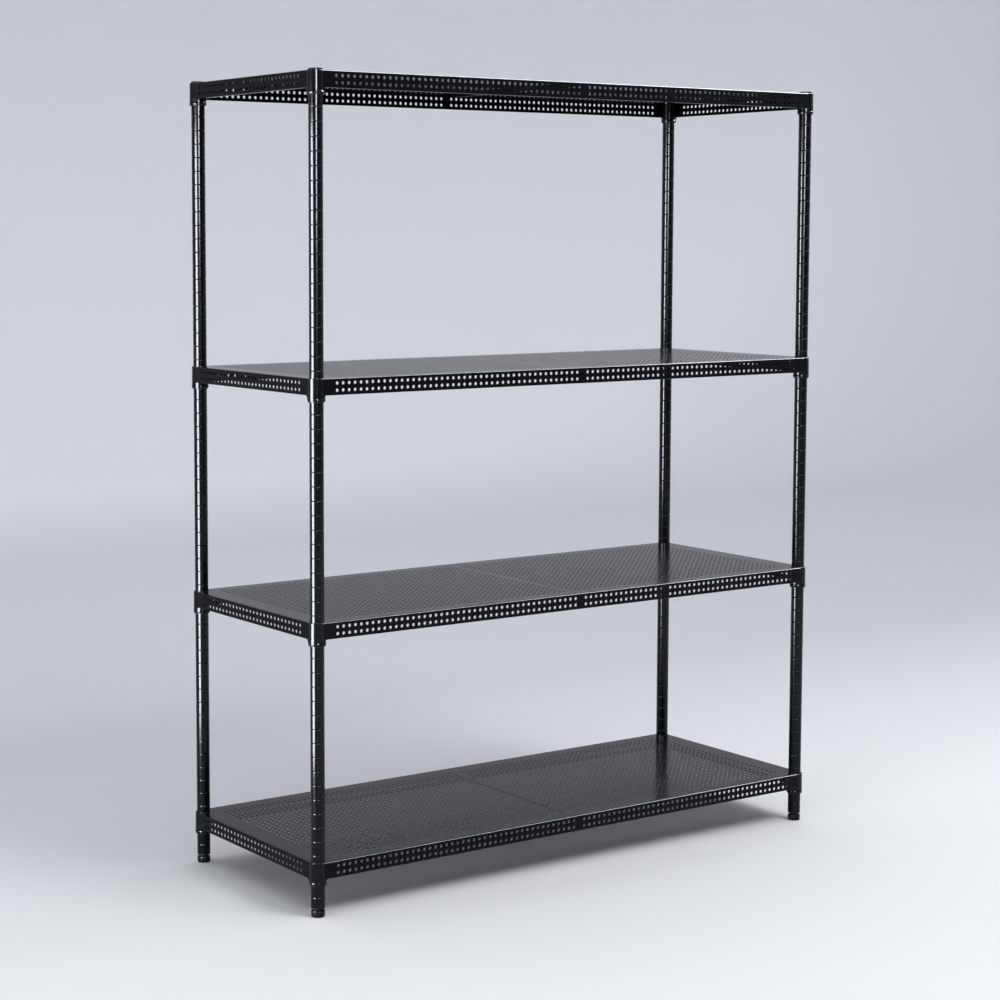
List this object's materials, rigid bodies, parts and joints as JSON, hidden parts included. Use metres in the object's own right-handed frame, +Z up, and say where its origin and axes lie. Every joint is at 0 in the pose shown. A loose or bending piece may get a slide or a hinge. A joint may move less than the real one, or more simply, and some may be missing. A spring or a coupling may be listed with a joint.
{
  "type": "wire shelving rack",
  "caption": "Upright rack of perforated folded-steel shelves that wedge onto split sleeves snapped round grooved round posts, with caps and screw-in levelling feet.",
  "frame": {"origin": "on the floor under the middle of the rack", "axes": "+Z up the posts, +X along the shelves to the right seen from the front, +Y from the front to the back"},
  "size_m": [1.2, 0.45, 1.5],
  "materials": {
    "powder_coat": "satin black powder coat on steel tube and sheet",
    "sleeve_plastic": "moulded black nylon",
    "cap_plastic": "moulded black nylon, slightly glossy",
    "foot_plastic": "moulded black plastic, matte"
  },
  "bodies": {
    "frame": {"post_front_left": "powder_coat", "cap_front_left": "cap_plastic", "insert_front_left": "foot_plastic", "post_front_right": "powder_coat", "cap_front_right": "cap_plastic", "insert_front_right": "foot_plastic", "post_back_left": "powder_coat", "cap_back_left": "cap_plastic", "insert_back_left": "foot_plastic", "post_back_right": "powder_coat", "cap_back_right": "cap_plastic", "insert_back_right": "foot_plastic", "sleeve_top_front_left_inner": "sleeve_plastic", "sleeve_top_front_left_outer": "sleeve_plastic", "sleeve_top_front_right_inner": "sleeve_plastic", "sleeve_top_front_right_outer": "sleeve_plastic", "sleeve_top_back_left_inner": "sleeve_plastic", "sleeve_top_back_left_outer": "sleeve_plastic", "sleeve_top_back_right_inner": "sleeve_plastic", "sleeve_top_back_right_outer": "sleeve_plastic", "sleeve_upper_front_left_inner": "sleeve_plastic", "sleeve_upper_front_left_outer": "sleeve_plastic", "sleeve_upper_front_right_inner": "sleeve_plastic", "sleeve_upper_front_right_outer": "sleeve_plastic", "sleeve_upper_back_left_inner": "sleeve_plastic", "sleeve_upper_back_left_outer": "sleeve_plastic", "sleeve_upper_back_right_inner": "sleeve_plastic", "sleeve_upper_back_right_outer": "sleeve_plastic", "sleeve_lower_front_left_inner": "sleeve_plastic", "sleeve_lower_front_left_outer": "sleeve_plastic", "sleeve_lower_front_right_inner": "sleeve_plastic", "sleeve_lower_front_right_outer": "sleeve_plastic", "sleeve_lower_back_left_inner": "sleeve_plastic", "sleeve_lower_back_left_outer": "sleeve_plastic", "sleeve_lower_back_right_inner": "sleeve_plastic", "sleeve_lower_back_right_outer": "sleeve_plastic", "sleeve_bottom_front_left_inner": "sleeve_plastic", "sleeve_bottom_front_left_outer": "sleeve_plastic", "sleeve_bottom_front_right_inner": "sleeve_plastic", "sleeve_bottom_front_right_outer": "sleeve_plastic", "sleeve_bottom_back_left_inner": "sleeve_plastic", "sleeve_bottom_back_left_outer": "sleeve_plastic", "sleeve_bottom_back_right_inner": "sleeve_plastic", "sleeve_bottom_back_right_outer": "sleeve_plastic"},
    "top_shelf": {"shelf_top": "powder_coat", "brace_top": "powder_coat"},
    "upper_shelf": {"shelf_upper": "powder_coat", "brace_upper": "powder_coat"},
    "lower_shelf": {"shelf_lower": "powder_coat", "brace_lower": "powder_coat"},
    "bottom_shelf": {"shelf_bottom": "powder_coat", "brace_bottom": "powder_coat"},
    "front_left_foot": {"foot_front_left": "foot_plastic"},
    "front_right_foot": {"foot_front_right": "foot_plastic"},
    "back_left_foot": {"foot_back_left": "foot_plastic"},
    "back_right_foot": {"foot_back_right": "foot_plastic"}
  },
  "joints": [
    {"name": "top_shelf_lift", "type": "slide", "parent": "frame", "child": "top_shelf", "axis": [0, 0, 1], "range_m": [0, 0.25]},
    {"name": "upper_shelf_lift", "type": "slide", "parent": "frame", "child": "upper_shelf", "axis": [0, 0, 1], "range_m": [0, 0.486]},
    {"name": "lower_shelf_lift", "type": "slide", "parent": "frame", "child": "lower_shelf", "axis": [0, 0, 1], "range_m": [0, 0.385]},
    {"name": "bottom_shelf_lift", "type": "slide", "parent": "frame", "child": "bottom_shelf", "axis": [0, 0, 1], "range_m": [0, 0.385]},
    {"name": "front_left_foot_screw", "type": "slide", "parent": "frame", "child": "front_left_foot", "axis": [0, 0, -1], "range_m": [0, 0.012]},
    {"name": "front_right_foot_screw", "type": "slide", "parent": "frame", "child": "front_right_foot", "axis": [0, 0, -1], "range_m": [0, 0.012]},
    {"name": "back_left_foot_screw", "type": "slide", "parent": "frame", "child": "back_left_foot", "axis": [0, 0, -1], "range_m": [0, 0.012]},
    {"name": "back_right_foot_screw", "type": "slide", "parent": "frame", "child": "back_right_foot", "axis": [0, 0, -1], "range_m": [0, 0.012]}
  ]
}
